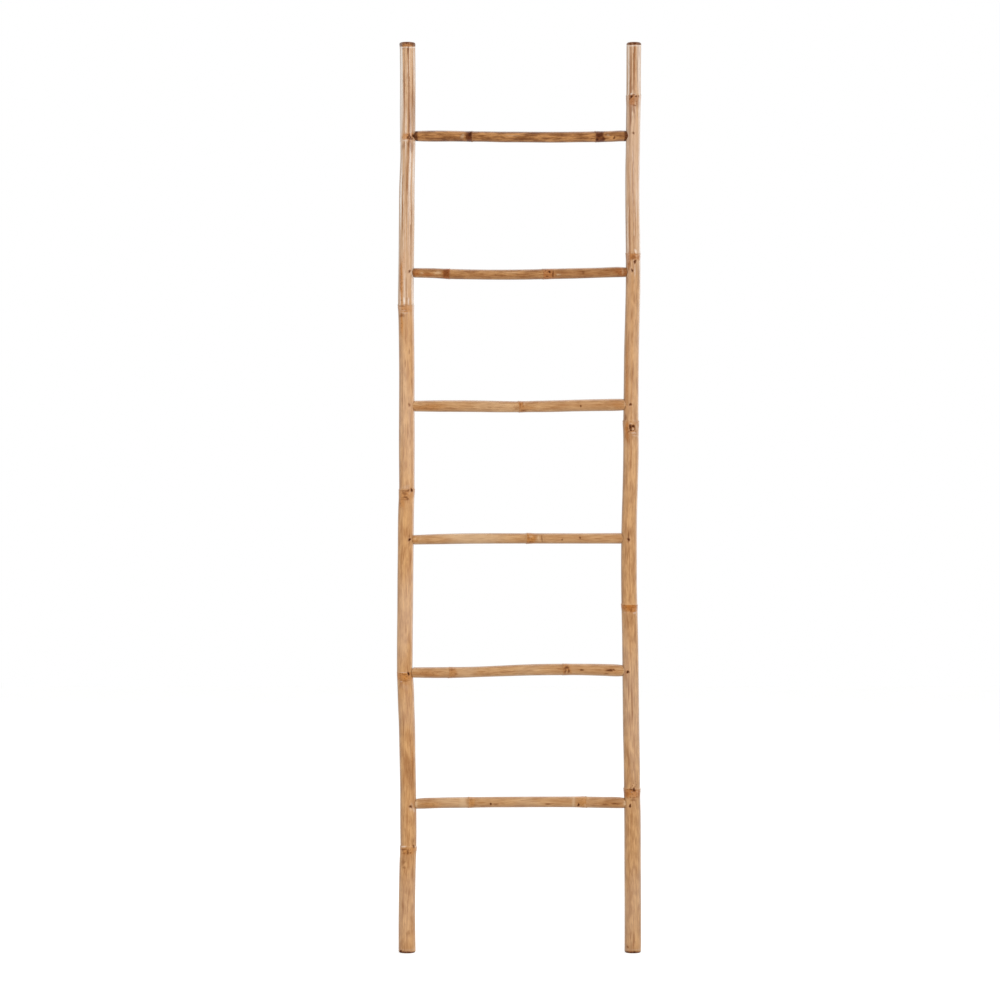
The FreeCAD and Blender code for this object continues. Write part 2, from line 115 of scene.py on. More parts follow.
# Knots, pits, cracks and stains: column and row in the picture, half width and half length in mm, and how
# much darker than the skin. A mark below 0 is paler than the skin. A few marks, noted above their rows, are painted
# highlights and painted shade instead.
LEFT_MARKS = (
    (409.5, 136.3, 2.9, 3.6, 0.85), (413.8, 136.6, 3.8, 5, 1), (408.2, 138.6, 3.4, 2.9, 0.9),
    (410.3, 139.6, 2.7, 2.2, 0.88), (412.3, 139.6, 2.7, 2.4, 0.88), (411.3, 137.2, 1.8, 2.1, -0.28),
    (405, 141.3, 7.5, 1.5, -0.5), (408.8, 144.6, 2.9, 6.6, 0.56), (404.2, 146, 1.8, 7.9, 0.5),
    # painted highlight: the first two marks in this row are pale strips down the left edge of the pole's top, standing
    # for glare along that edge
    (401, 90, 5.6, 98, -0.92), (402.6, 105, 2, 60, -0.6), (411, 142, 7, 90, 0.16), (405, 325, 6, 24, 0.16),
    (404.5, 309.5, 10, 8, 0.1), (409.5, 137.2, 9, 6, 0.24), (409.8, 106, 9, 28, 0.22), (410.2, 772, 10, 36, 0.3),
    (407, 947, 17, 10, 0.12), (401, 138, 2.4, 9, -0.5), (408.3, 51, 1.8, 8.6, 0.82), (404, 49.2, 5.5, 2.1, 0.38),
    (413.2, 90, 1.5, 34, 0.4), (404.5, 92, 1.3, 80, 0.4), (412.4, 112, 1.1, 24, 0.35), (405, 168, 1.2, 40, 0.35),
    (408.6, 230, 1.2, 80, 0.38), (410.8, 190, 1.1, 40, 0.35), (400.4, 276, 2.6, 44, 0.28),
    # painted highlights: the three pale marks in this row, above the second node's scar, stand for scraped facets
    # catching the light
    (404.4, 301.3, 1.6, 8.5, -0.85), (408.8, 301.8, 1.5, 7, -0.65), (412.9, 301, 1.8, 8.5, -0.55),
    (402.5, 306.6, 8.2, 1.3, 0.56), (403.5, 311.2, 5.8, 0.9, -0.33), (405, 313.4, 9.2, 1, -0.33),
    (401.8, 315.8, 6.2, 5, 0.53), (413, 308, 2.4, 10, -0.3), (405.6, 335, 1.2, 34, 0.3), (406.5, 487, 9.2, 4.6, -0.16),
    (411.8, 490.2, 3.8, 3.7, 1), (408.4, 490.6, 2.2, 2.4, 0.75), (405.5, 491, 8.8, 1.3, 0.69),
    (404.8, 493.6, 5.6, 4.5, 0.53), (409.5, 493.5, 3, 2.5, -0.1), (411, 491.8, 1.8, 1.6, -0.33),
    (406, 497.3, 4.5, 2.4, 0.72), (407.8, 499, 2.7, 2.7, 0.69), (402.8, 498, 5, 1.3, 0.44),
    (404, 499.8, 11.9, 1.3, 0.44), (404, 672.2, 9.2, 0.9, -0.39), (405, 674.3, 9.6, 1.2, 0.5),
    (408.6, 674.8, 3.6, 4.5, 0.26), (405.5, 680.4, 5, 1.8, 0.46), (402.6, 679.6, 4.5, 1.3, 0.28),
    (408.8, 679.8, 3.2, 1.6, 0.35), (401.4, 681.2, 3.4, 1, -0.33), (406, 662, 13, 15, 0.1), (406, 687, 9, 7, -0.1),
    (400, 686, 2.6, 6.6, 0.31), (403.6, 845.8, 7.1, 1.5, -0.55), (404, 848.6, 6.8, 2, 0.6),
    (408, 851.4, 2.8, 5.6, 0.66), (404.5, 852.6, 4.5, 2, 0.5), (413.5, 845.4, 2.9, 3.7, 0.76),
    (413.2, 840.8, 1.6, 7.9, 0.5), (410.8, 852, 1.8, 1.8, 0.62), (404.3, 861.3, 3.8, 3.8, 0.47),
    (404.6, 866.6, 3.2, 3.6, 0.45), (404, 857.5, 3, 3, 0.15), (402.6, 388, 1, 76, 0.36), (412.9, 769, 2.6, 27, 0.42),
    (405.6, 364, 1.2, 8, 0.55), (409.6, 352, 1.2, 7, 0.5), (403.8, 728, 1.2, 32, 0.42), (409, 894, 2.2, 15, 0.32),
    (403.2, 905, 2.4, 12, 0.35), (410.6, 560, 1.1, 26, 0.34), (406, 628, 1.3, 15, 0.34), (401.8, 574, 1, 36, 0.28),
    (411.6, 806.4, 3.6, 10, -0.22), (414.2, 809.6, 2.5, 3.9, -0.55), (402, 942, 4.8, 7.9, 0.31),
    (408.6, 932, 4.2, 6.1, 0.38), (411.8, 918, 2.4, 9, 0.28), (401.2, 950.6, 4.5, 2.9, 1),
    (408, 950.2, 10.3, 0.9, -0.33), (408, 430, 1.1, 22, 0.32), (403.8, 452, 1.2, 15, 0.3), (406.6, 590, 1.1, 14, 0.3),
    (407.4, 705, 1.6, 12, 0.3), (410.6, 744, 1.2, 20, 0.34), (404.2, 790, 1.4, 22, 0.32), (409.5, 536.6, 1.8, 6.5, 0.5),
    (409.6, 543, 1.5, 5.4, 0.44), (411.6, 273.4, 1.8, 3.9, -0.39), (407, 425, 20, 118, -0.11),
    (405.5, 616, 20, 98, -0.17), (407.5, 712, 20, 50, -0.09), (407.5, 905, 20, 80, -0.1), (411.6, 147, 6, 13, 0.44),
    # painted shade: the second mark in this row, at (414.5, 111), darkens the right side of the pole's top
    (410.2, 120, 2.4, 32, 0.46), (414.5, 111, 4, 46, 0.42), (403, 147, 4, 8, 0.34), (403.4, 861, 4.6, 7, 0.38),
    (406, 858, 9, 12, 0.24),
)
RIGHT_MARKS = (
    (629.4, 345, 8, 130, 0.14), (631.4, 258, 12, 6.4, 0.22), (633, 947, 17, 10, 0.1), (638, 52, 4, 22, 0.26),
    (631.1, 97.6, 3.6, 3.6, 1), (629.6, 99.6, 2.4, 2, 0.62), (630.8, 94.8, 2.5, 2.1, -0.66),
    (634.6, 95, 2.3, 1.4, -0.44), (633.4, 95.6, 3.2, 1.8, 0.62), (635.8, 97.3, 3.8, 1.9, 0.81),
    (638.6, 97, 2.4, 2.7, 0.56), (635.4, 99.4, 2.4, 1.3, 0.38), (634.2, 106.3, 5.6, 2.2, 0.62),
    (636.6, 104.6, 2, 3.6, 0.44), (632, 105.6, 4, 1.6, 0.38), (638.6, 102, 3.4, 5.8, -0.33), (630, 70, 2.2, 44, 0.26),
    (633.6, 66, 1.6, 40, 0.3), (637.3, 72, 1.6, 42, 0.5), (629.2, 66, 1, 48, -0.3), (629.4, 44.6, 3.8, 2.2, 1),
    (634.6, 44.4, 4.5, 2.5, 1), (639, 44, 3.2, 1.8, 0.75), (630.4, 118, 1.4, 22, 0.55), (634.6, 116, 1.3, 24, 0.5),
    (632.4, 180, 1.2, 80, 0.34), (629.4, 200, 1.3, 90, 0.36), (635.4, 220, 1.1, 50, 0.3), (627.6, 170, 1.2, 40, 0.35),
    (633.2, 257.8, 4.2, 6, 0.56), (636.2, 256.4, 2.1, 2.8, -0.15), (638.2, 258, 4, 3.2, 0.28),
    (635.6, 251.8, 3.2, 4.2, -0.55), (634.8, 262.2, 3.7, 4.3, 0.94), (629.4, 264.5, 2.4, 7.4, 0.44),
    (628, 268, 2.6, 6.6, 0.38), (626.6, 281, 2.4, 10, 0.35), (634.8, 272, 2.2, 8, -0.22), (630, 427.2, 4.1, 5.2, 1),
    (632.8, 426.4, 3.8, 4, 1), (631.3, 425.2, 2.4, 1.5, 0.62), (630.6, 430.4, 3.1, 2.2, 1),
    (632.6, 429.4, 1.2, 1.2, -0.45), (630.2, 423.9, 3, 1.3, -0.33), (634.4, 428.8, 1.8, 3.2, 0.62),
    (633, 430.7, 2.4, 1.5, 0.69), (635.4, 421.6, 4.1, 5.1, -0.15), (633.8, 433, 5.1, 2.3, -0.37),
    (636, 427.2, 2.8, 5.8, -0.2), (637.7, 425.5, 1.3, 7.4, 0.5), (635, 436, 6.9, 1, -0.31),
    (625.3, 417.5, 3.2, 8.6, 0.47), (628.6, 431.6, 2.7, 2.4, 0.5), (628.6, 441, 4.4, 6, 0.2),
    (630.7, 610.4, 1.5, 3.6, 0.56), (634.6, 612.6, 5.3, 2.1, -0.39), (624.6, 612.6, 3, 1, -0.2),
    (627.6, 622, 1.2, 15, 0.42), (631.6, 620, 1.2, 18, 0.4), (634.6, 628, 1.1, 20, 0.35), (633.5, 789.1, 3.8, 4, 1),
    (630.8, 788.7, 3.4, 2.3, 0.8), (636.4, 791, 1.6, 1.2, -0.25), (631.5, 791.4, 2.1, 1.1, -0.2),
    (630.4, 786.8, 1.7, 1.3, 0.53), (632, 785, 1.8, 1.3, 0.53), (634.4, 786, 1.7, 1.3, 0.53),
    (636, 784.2, 1.5, 1.3, 0.45), (633.2, 782.6, 1.5, 1.3, 0.45), (630.8, 783.4, 1.2, 1.2, 0.38),
    (635, 780.8, 1.2, 1.2, 0.38), (630, 796.6, 1.8, 1.8, 0.56), (633, 797, 5, 1.2, 0.5), (636.5, 796.4, 1.8, 1.8, 0.44),
    (633, 799.2, 5, 3.6, 0.5), (626.6, 794, 5.3, 7.3, 0.3), (631.6, 705, 1.2, 38, 0.66), (628.6, 690, 1.1, 28, 0.42),
    (629.8, 722, 1.1, 24, 0.4), (633.6, 938, 1.2, 23, 0.5), (630.4, 934, 3, 9, 0.3), (627.8, 946, 2.5, 2.8, 0.62),
    (634, 951.5, 6.2, 2.7, 1), (640, 948.6, 1.8, 2.8, -0.39), (627.9, 538, 1.5, 11, 0.85), (634, 300, 1.4, 13, 0.45),
    (628.2, 340, 1.2, 42, 0.36), (629, 560, 1.2, 30, 0.36), (635.5, 500, 1.1, 28, 0.32), (628, 830, 1.7, 15, 0.32),
    (635.6, 870, 1.9, 15, 0.34), (631, 895, 2.2, 12, 0.3), (626, 675, 3.2, 10, 0.28), (630.6, 460, 1.2, 22, 0.36),
    (626.4, 482, 1.2, 18, 0.3), (632.6, 375, 1.3, 24, 0.36), (629.8, 650, 1.3, 22, 0.34), (633.6, 745, 1.4, 26, 0.34),
    (628.4, 760, 1.3, 18, 0.34), (632.6, 154, 20, 100, -0.12), (632, 186, 7, 122, 0.13), (631, 705, 20, 150, -0.14),
    (632.7, 905, 20, 80, -0.1), (632.5, 109.5, 4.5, 10, 0.4), (637.6, 103, 4, 18, 0.3), (632.3, 88.5, 3, 8, 0.3),
    (628, 262.5, 5, 18, 0.22), (627, 434.5, 5, 13, 0.22), (631, 436.8, 5, 8, 0.24), (631, 418.4, 4, 4, 0.22),
    (630.5, 607.4, 7, 4.2, 0.26), (629.2, 598.5, 4, 8, 0.18), (631.5, 780, 4.5, 8, 0.2), (632.8, 101.2, 8, 7.5, 0.3),
    (632.2, 258.4, 4.4, 4.4, 0.4),
)
# Ochre patches of the skin, in the bands' colour: column, row, half width and half length in mm, and strength
LEFT_OCHRES = (
    (406.6, 137, 14, 7, 0.95), (412, 136.6, 8, 8, 0.95), (401.4, 282, 4.6, 54, 0.95), (404.5, 309.5, 10, 7.5, 0.8),
    (404.5, 495, 11, 11, 0.75), (404.5, 850.4, 8.5, 7.5, 0.8), (412, 850.4, 6, 6.5, 0.75), (406, 676.5, 14, 9, 1),
    (404, 262, 3, 30, 0.45), (410.4, 140.8, 4, 7, 0.6), (412.6, 762, 3.4, 40, 0.45), (404, 778, 5, 16, 0.2),
    (401.6, 323, 5, 26, 0.85), (401.6, 502, 6, 16, 0.8),
)
RIGHT_OCHRES = (
    (632, 101.8, 8.6, 9, 1), (631, 257.4, 10, 6.4, 0.8), (626.4, 428, 5.4, 11, 0.95), (631, 609.6, 16, 6.4, 1),
    (627.4, 793, 6.5, 8.5, 1), (626.4, 380, 3.8, 60, 0.6), (634, 795, 8, 5, 0.6), (633.8, 432.6, 5, 3, 0.8),
    (636, 422, 3.6, 6, 0.75), (626.6, 668, 3.6, 26, 0.35), (625.6, 672, 4.6, 8, 0.5), (636.5, 101.4, 5, 8, 0.75),
    (627.8, 262, 6, 18, 0.85), (626.6, 435.5, 5, 14, 0.85),
)
# Flats scraped along the poles' upper ends, from the left edge to the right one: place across, -1 to 1, and
# how pale the flat is, the paleness being partly bare scraped skin and partly painted highlight. The ones at the back
# follow by chance
LEFT_FLAT_SHARES = (
    (-0.95, 0.5), (-0.74, 0.7), (-0.5, -0.4), (-0.22, 0.25), (0.02, -0.4), (0.16, -0.75), (0.34, 0.4), (0.62, -0.3),
    (0.86, 0.4),
)
RIGHT_FLAT_SHARES = (
    (-0.95, -0.5), (-0.74, 0.4), (-0.46, -0.65), (-0.18, 0.05), (0.04, -0.7), (0.3, -0.1), (0.52, 0.3), (0.76, 0.5),
    (0.95, 0),
)
# How dark the stain around each nail is, from the lowest up
LEFT_STAIN_SHARES = (0.8, 1, 1, 0.55, 0.65, 0.6)
RIGHT_STAIN_SHARES = (0.9, 0.95, 0.9, 0.85, 0.8, 0.5)
LEFT_POLE = (LEFT_POLE_PX, LEFT_NODES, LEFT_MARKS, LEFT_OCHRES, LEFT_FLAT_SHARES)
RIGHT_POLE = (RIGHT_POLE_PX, RIGHT_NODES, RIGHT_MARKS, RIGHT_OCHRES, RIGHT_FLAT_SHARES)

# Rungs by number, 1 being the lowest, from the left: column in the picture, row of the middle, width
RUNGS_PX = {
    6: (
        (415.4, 136.1, 10), (419, 136.1, 10.4), (458, 136.2, 10.6), (468, 136.4, 10.5), (486, 136.6, 10.4),
        (500, 136.9, 10.6), (520, 137, 10.7), (552, 137.2, 10.8), (580, 136.9, 10.6), (596, 136.7, 10.8),
        (612, 136.3, 10.9), (620, 135.9, 10.9), (626, 136, 10.6),
    ),
    5: (
        (413.8, 272.8, 9.5), (434, 273.2, 9.9), (448, 273.9, 10.2), (470, 274.4, 10), (500, 274.7, 10),
        (532, 274.4, 10.2), (552, 273.9, 10.4), (575, 273.4, 10.4), (600, 272.7, 10.1), (619, 272.1, 10.3),
        (626, 272.2, 9.8),
    ),
    4: (
        (414.6, 406.1, 10.8), (440, 406.1, 11.5), (472, 406.2, 11.6), (505, 406.7, 11.3), (519, 406.8, 11),
        (534, 406.5, 11.3), (548, 406.3, 11.6), (575, 405.6, 11.7), (600, 405.1, 11.9), (619, 404.8, 11.9),
        (623.6, 404.7, 11.5),
    ),
    3: (
        (413.4, 539.8, 9.5), (440, 539.1, 10.2), (464, 538.6, 10.4), (490, 538.4, 10.4), (527, 538.4, 10.3),
        (552, 538.4, 10.4), (590, 538.4, 10.4), (621.4, 538.3, 10.7),
    ),
    2: (
        (413.4, 672.5, 10.4), (440, 672.6, 10.8), (460, 672.4, 10.8), (480, 671.8, 10.6), (500, 671, 10.8),
        (530, 669.9, 11.3), (552, 669.5, 11.4), (580, 669.5, 11.4), (602, 669.9, 11.9), (619, 670.5, 11.8),
        (622.4, 670.6, 11.2),
    ),
    1: (
        (416.2, 803.8, 10), (419, 803.6, 10.4), (438, 802.9, 10.6), (464, 802.5, 10.7), (486, 802.2, 10.6),
        (520, 802, 10.7), (556, 801.9, 10.8), (580, 802, 11), (602, 802.4, 11.1), (621, 802.8, 11), (624.4, 803, 10.5),
    ),
}
# Nodes of the rungs: column of the scar, swelling, length of the band, to the left if below 0, and its colour
RUNG_NODES = {
    6: ((472, 0.5, -12, 1), (595.5, 0.6, 19, 1)),
    5: ((449.2, 0.5, -13, 1), (543, 0.5, 25, 0.5)),
    4: ((519, 0.7, 14, 0.95),),
    3: ((527, 0.9, 17, 1),),
    2: ((449, 0.5, 16, 0.65), (563, 0.5, 17, 0.6)),
    1: ((468.5, 0.6, 13, 0.6), (586, 0.6, -21, 0.65)),
}
# Knots and stains of the rungs, as for the poles. The first mark of each rung is painted shade along its top edge, and
# rungs 3 and 1 also have painted shade along the bottom edge, as noted above their rows
RUNG_MARKS = {
    6: (
        # painted shade: the first mark darkens the rung's top edge along its whole length
        (520, 132.4, 4.2, 210, 0.48), (490, 141.4, 3.6, 60, 0.25), (470, 135, 7.5, 4.1, 0.98),
        (466.6, 138.5, 5, 2.8, 0.63), (462.5, 137, 5, 4, -0.3), (599.5, 136, 5, 6.9, 0.86),
        (603.5, 139.5, 3.2, 4.6, 0.69), (597, 140, 2.5, 3.4, 0.98), (601.5, 133.6, 2.5, 3.4, 0.69),
        (614, 138.3, 3, 2.5, 0.8), (520, 139.4, 1.3, 22, 0.65), (560, 135.2, 1, 26, 0.5), (440, 138.9, 1.2, 18, 0.55),
        (500, 134.2, 1, 12, 0.55), (545, 139.2, 1.1, 14, 0.6), (427, 134.2, 1.2, 9, 0.45), (486, 138.4, 1, 9, 0.55),
        (580, 138.8, 1.2, 12, 0.5), (512, 136.4, 1, 12, -0.35), (453, 135.2, 1, 14, 0.4), (416.6, 133, 3.8, 3.4, 0.69),
        (416, 139.5, 3, 3.4, 0.57), (608, 136, 3, 3, -0.25), (533, 136, 0.8, 8, 0.45), (621, 137, 5, 4, 0.2),
    ),
    5: (
        # painted shade: the first mark darkens the rung's top edge along its whole length
        (520, 270.1, 4, 210, 0.15), (446, 273.6, 11.2, 6.4, 0.63), (447.4, 270.6, 2.5, 3.4, 0.69),
        (438, 273, 3, 8, -0.35), (549.4, 272.2, 2.8, 2.8, 1), (552.9, 274.6, 7.5, 1.8, 0.8),
        (547, 276.6, 2.2, 2.5, 0.69), (545.4, 270.6, 2.2, 1.6, 0.69), (558.4, 275, 2.2, 4, -0.55),
        (583, 272.6, 3.5, 4.6, 0.57), (500, 276, 1, 20, 0.4), (524, 275, 1, 12, 0.45), (480, 276.6, 1, 12, 0.4),
        (414.8, 270.6, 4, 2.6, 0.45), (422, 273.4, 2, 3, -0.3), (622.4, 272.4, 4.5, 2.4, -0.25),
        (604, 270.6, 0.9, 16, 0.4), (566, 274, 0.9, 12, 0.35), (512, 273, 0.9, 14, -0.25), (592, 272.8, 20, 72, 0.22),
        (608, 272.4, 20, 34, 0.3), (563.5, 274, 20, 18, 0.3),
    ),
    4: (
        # painted shade: the first mark darkens the rung's top edge along its whole length
        (520, 402, 4, 210, 0.2), (428, 406, 9.5, 17, 0.13), (580.7, 406.2, 2.5, 2.2, 0.86), (524, 410.4, 2, 6.9, 0.57),
        (520.2, 405, 7, 1.4, 0.45), (524, 404, 3, 3, -0.3), (430, 409, 1, 20, 0.45), (452, 408.4, 0.9, 18, 0.4),
        (420, 404, 1.6, 7, 0.35), (440, 404.6, 0.8, 16, 0.3), (470, 408.8, 0.9, 20, 0.4), (500, 407.5, 0.8, 16, 0.3),
        (556, 404, 0.8, 20, 0.32), (604, 406.4, 0.8, 10, 0.35), (578, 403.4, 1, 3, 0.4), (516.4, 409, 1.2, 3, 0.45),
        (505, 404.4, 1.2, 16, -0.35), (623, 404.2, 6, 1.7, -0.35), (580, 405.8, 20, 90, 0.15),
        (494, 406.5, 16, 44, -0.17), (612, 405.2, 20, 26, 0.18),
    ),
    3: (
        # painted shade: the first mark darkens the rung's top edge and the second its bottom edge, along the whole
        # length
        (520, 533.9, 4, 210, 0.17), (520, 542.9, 3.6, 210, 0.1), (535.4, 539, 6, 5, 0.22), (562, 539.6, 2.2, 2.1, 0.75),
        (579.9, 537.6, 2.2, 2.1, 0.86), (541.8, 538.2, 10, 1.6, 0.57), (450, 541, 0.9, 20, 0.35),
        (531, 541.8, 1.4, 7, 0.55), (532.6, 539.6, 1.4, 4, 0.35), (530.6, 536.4, 2.2, 5, -0.3),
        (528, 538, 6, 1.2, 0.45), (420, 539.4, 5, 4, -0.15), (538.6, 538, 6, 2.2, -0.35), (604, 540.4, 0.8, 16, 0.28),
        (494, 537.4, 0.8, 18, 0.22), (470, 541.6, 0.8, 10, 0.32), (413.6, 538.6, 7, 1.7, 0.3),
        (416, 538.4, 2.8, 1.5, -0.4), (587, 540.6, 0.8, 9, 0.3), (472, 538.4, 18, 74, -0.36), (584, 538.4, 20, 96, 0.1),
        (529.4, 538.4, 9, 3, 0.2), (544.4, 538.4, 18, 4, 0.18),
    ),
    2: (
        # painted shade: the first mark darkens the rung's top edge along its whole length
        (520, 665.5, 4, 210, 0.13), (424, 674, 5, 14, 0.14), (455, 672, 8, 6, 0.1), (566.5, 667.4, 2.8, 6.6, 0.8),
        (568.6, 670.6, 3.8, 3, 0.7), (565.4, 670.8, 3.8, 2.3, 0.69), (566.4, 671.8, 1.8, 2.2, -0.35),
        (564, 671, 8, 1.2, 0.45), (581.7, 669.6, 2, 4.1, 0.98), (609.5, 670, 2.4, 9, 0.9), (613.4, 669.4, 2, 3.4, 0.69),
        (508, 671.6, 1.2, 20, 0.5), (606, 673.4, 1.5, 5.8, 0.57), (529, 670.6, 0.9, 12, 0.45),
        (486, 673, 0.9, 16, 0.35), (452, 669.4, 2.4, 6, 0.4), (456, 673.8, 3, 3, 0.45), (427, 674.4, 0.9, 14, 0.4),
        (437, 671.6, 0.9, 12, 0.3), (416.6, 668.4, 2.4, 1.7, 0.3), (622, 670.4, 7, 1.7, -0.28),
        (589, 672.6, 0.8, 14, 0.35), (470, 669.6, 2.6, 10, -0.3), (545, 668, 0.8, 14, 0.3), (468, 671.8, 16, 22, -0.2),
        (528, 670, 16, 24, -0.18), (588, 669.8, 20, 46, 0.12), (430, 672.6, 20, 30, 0.1),
    ),
    1: (
        # painted shade: the first mark darkens the rung's top edge along its whole length, and the third its bottom
        # edge
        (520, 797.4, 4, 210, 0.11), (434, 806, 4, 22, 0.14), (520, 806.6, 3.4, 150, 0.12), (490.8, 803.5, 2.4, 2.8, 1),
        (496, 803.8, 1.5, 5.8, 0.57), (578.4, 804.4, 3.5, 2.8, 1), (581.4, 801, 2.6, 2.2, 0.25),
        (470.4, 799.6, 3.8, 2.3, 0.3), (474.6, 804.6, 3, 3.9, 0.3), (548, 803.5, 1.6, 8, 0.65),
        (552.4, 802.8, 1, 4, 0.4), (615, 803.2, 1.8, 9, 0.85), (605, 803.8, 1.6, 10, 0.65), (594, 805, 0.9, 12, 0.35),
        (444, 803.4, 1, 16, 0.42), (428, 801, 1, 9, 0.35), (454, 801, 0.8, 9, 0.3), (520, 804.6, 0.8, 16, 0.3),
        (536, 801, 0.8, 12, 0.28), (417.4, 804, 8, 2.6, -0.5), (623.4, 803.2, 6, 2.3, -0.6), (482, 805.8, 1, 7, 0.45),
        (585, 804.8, 3, 2.6, -0.35), (449, 802.6, 16, 24, -0.2), (527, 802, 16, 22, -0.2), (582, 802.2, 20, 56, 0.14),
        (610, 802.8, 20, 28, 0.32), (427, 803.4, 20, 24, 0.16), (462.6, 802.4, 18, 10, -0.42),
        (471.8, 802.4, 16, 3, 0.18), (573.4, 801.8, 18, 3, -0.42), (593, 802.2, 20, 14, 0.2),
    ),
}
# Ochre patches of the rungs, as for the poles
RUNG_OCHRES = {
    6: ((440, 138, 5, 40, 0.25),),
    5: ((417, 272.6, 9, 7, 0.55), (620, 272, 11, 12, 0.5), (428, 275, 3, 16, 0.4)),
    4: ((430, 407.6, 8, 34, 0.6), (617, 405, 10, 12, 0.45), (525, 408, 6, 14, 0.5)),
    3: ((416, 539.6, 9, 8, 0.5), (532, 539.2, 9.5, 9, 1)),
    2: ((428, 673.6, 8, 30, 0.5), (566, 669.4, 9, 9, 0.5), (612, 671, 7, 14, 0.35)),
    1: ((434, 805, 6, 34, 0.45), (612, 804, 6, 22, 0.4)),
}


# Places
def place_x(column):
    return (np.asarray(column, float) - ORIGIN_PX[0]) * PIXEL


def place_z(row):
    return (ORIGIN_PX[1] - np.asarray(row, float)) * PIXEL


# Curves and patterns. Places along a culm stand in a column, and angles around it in a row
def smooth_curve(at, knots, values):
    """A cubic Hermite curve through the knots, whose tangents are the slopes between their neighbours."""
    slopes = np.gradient(values, knots)
    at = np.clip(at, knots[0], knots[-1])
    low = np.clip(np.searchsorted(knots, at, side="right") - 1, 0, len(knots) - 2)
    step = knots[low + 1] - knots[low]
    part = (at - knots[low]) / step
    rest = 1 - part
    start = (1 + 2 * part) * rest**2 * values[low] + part * rest**2 * step * slopes[low]
    end = part**2 * (3 - 2 * part) * values[low + 1] - part**2 * rest * step * slopes[low + 1]
    return start + end


def smooth_step(value, low, high):
    """0 below low, 1 above high, and 3t^2 - 2t^3 between them."""
    part = np.clip((value - low) / (high - low), 0, 1)
    return part**2 * (3 - 2 * part)


def bell(distance, width):
    """exp(-(distance / width)^2)."""
    return np.exp(-((distance / width) ** 2))


def wave(places, pace):
    """sin(pace * places + s), s being a chance start."""
    return np.sin(pace * places + CHANCE.uniform(0, 6))


def stations(start, end, focuses, finest=0.5 * MM, coarsest=4 * MM, growth=0.15):
    """Places along a culm whose spacing grows steadily with the distance to the nearest focus."""
    fine = np.linspace(start, end, 20001)
    nearest = np.abs(fine[:, None] - focuses).min(1)
    spacing = np.minimum(finest + growth * nearest, coarsest)
    count = np.concatenate([[0], np.cumsum(np.diff(fine) / spacing[1:])])
    return np.interp(np.linspace(0, count[-1], int(count[-1]) + 1), count, fine)


def ripple(along, turn, waves, length):
    """A sum of sines around and along a culm, each with whole waves around, between about -1 and 1."""
    total = 0
    for _ in range(waves):
        around = CHANCE.integers(0, 6)
        pace = CHANCE.uniform(-1, 1) * 2 * math.pi / length
        start = CHANCE.uniform(0, 2 * math.pi)
        total = total + np.sin(around * turn + pace * along + start)
    return total / math.sqrt(waves)


def chance_flats(count, arc, sway):
    """Angles and tones of flats spread over an arc, each a chance share of a step along."""
    return [(arc * (index + CHANCE.uniform(*sway)) / count, CHANCE.uniform(-1, 1)) for index in range(count)]


def scraped_flats(along, turn, strength, flats):
    """The section of a culm that a knife has scraped into flats: the least of a circle and of planes.

    A plane whose foot is at angle a and distance d is met at d / cos(turn - a). The feet drift slowly
    along the culm. Gives the radius as a share of the round one, each flat's own tone, and the ridges, a mask for the
    painted highlight."""
    missed, ridge_width = 2, 0.0035
    radius = np.ones((len(along), turn.size))
    runner_up = np.full_like(radius, missed)
    tone = np.zeros_like(radius)
    for angle, own_tone in flats:
        sway = CHANCE.uniform(0.02, 0.05) * wave(along, CHANCE.uniform(4, 9))
        bite = 0.017 + 0.01 * wave(along, CHANCE.uniform(5, 14))
        own = own_tone + 0.3 * wave(along, CHANCE.uniform(10, 26))
        gap = np.cos(turn - (angle + sway))
        reach = np.where(gap > 0.5, (1 - strength * bite) / np.maximum(gap, 0.5), missed)
        nearer = reach < radius
        runner_up = np.where(nearer, radius, np.minimum(runner_up, reach))
        tone = np.where(nearer, own, tone)
        radius = np.where(nearer, reach, radius)
    return radius, tone, bell(runner_up - radius, ridge_width)


def node_shape(beyond, swelling, band):
    """A node's outline by the distance beyond its scar, which is positive in the band.

    The culm swells towards the scar from the band's side over the band's length, has a sharp lip at the
    scar, and falls back within a few millimetres past it."""
    body = np.where(beyond > 0, bell(beyond, band), bell(beyond, 2.2 * MM))
    lip = bell(beyond, 0.75 * MM)
    furrow = bell(beyond - 2.4 * MM, 1.2 * MM)
    return (swelling * body + 0.3 * lip - 0.22 * furrow) * MM


def node_fields(along, turn, nodes, scars):
    """The nodes' outline, colour bands and scars over a culm, each scar wavering a little round it."""
    rise = bands = lines = 0
    for (_, swelling, reach, band, tone, line), scar in zip(nodes, scars):
        waver = 0.7 * MM * wave(turn, 1) + 0.3 * MM * wave(turn, 3)
        beyond = math.copysign(1, band) * (scar + waver - along)
        rise = rise + node_shape(beyond, swelling, reach * MM)
        edge = abs(band) * MM * (1 + 0.1 * wave(turn, 2) + 0.08 * wave(turn, 5))
        inside = smooth_step(beyond, -0.5 * MM, 0.6 * MM) * (1 - smooth_step(beyond, 0.75 * edge, 1.1 * edge))
        bands = np.maximum(bands, tone * inside)
        worn = line * (0.75 + 0.25 * wave(turn, 3))
        lines = np.maximum(lines, worn * bell(beyond, 0.8 * MM))
    return rise, bands, lines


def scattered(chances, scars, side, ends):
    """Knots by the scars and streaks between the ends, by chance. Side is -1 where the scars count backwards."""
    knots, away, sizes, turned, streaks, depths, widths, lengths = chances
    marks = []
    for scar in scars:
        for _ in range(knots):
            place = side * (scar - CHANCE.uniform(*away) * MM)
            size = CHANCE.uniform(*sizes) * MM
            marks.append((place, CHANCE.uniform(*turned) * math.pi, size, size, CHANCE.uniform(0.4, 0.9)))
    for _ in range(streaks):
        place, angle = CHANCE.uniform(*ends), CHANCE.uniform(0, 2) * math.pi
        depth = CHANCE.uniform(*depths)
        marks.append((place, angle, CHANCE.uniform(*widths) * MM, CHANCE.uniform(*lengths) * MM, depth))
    return marks


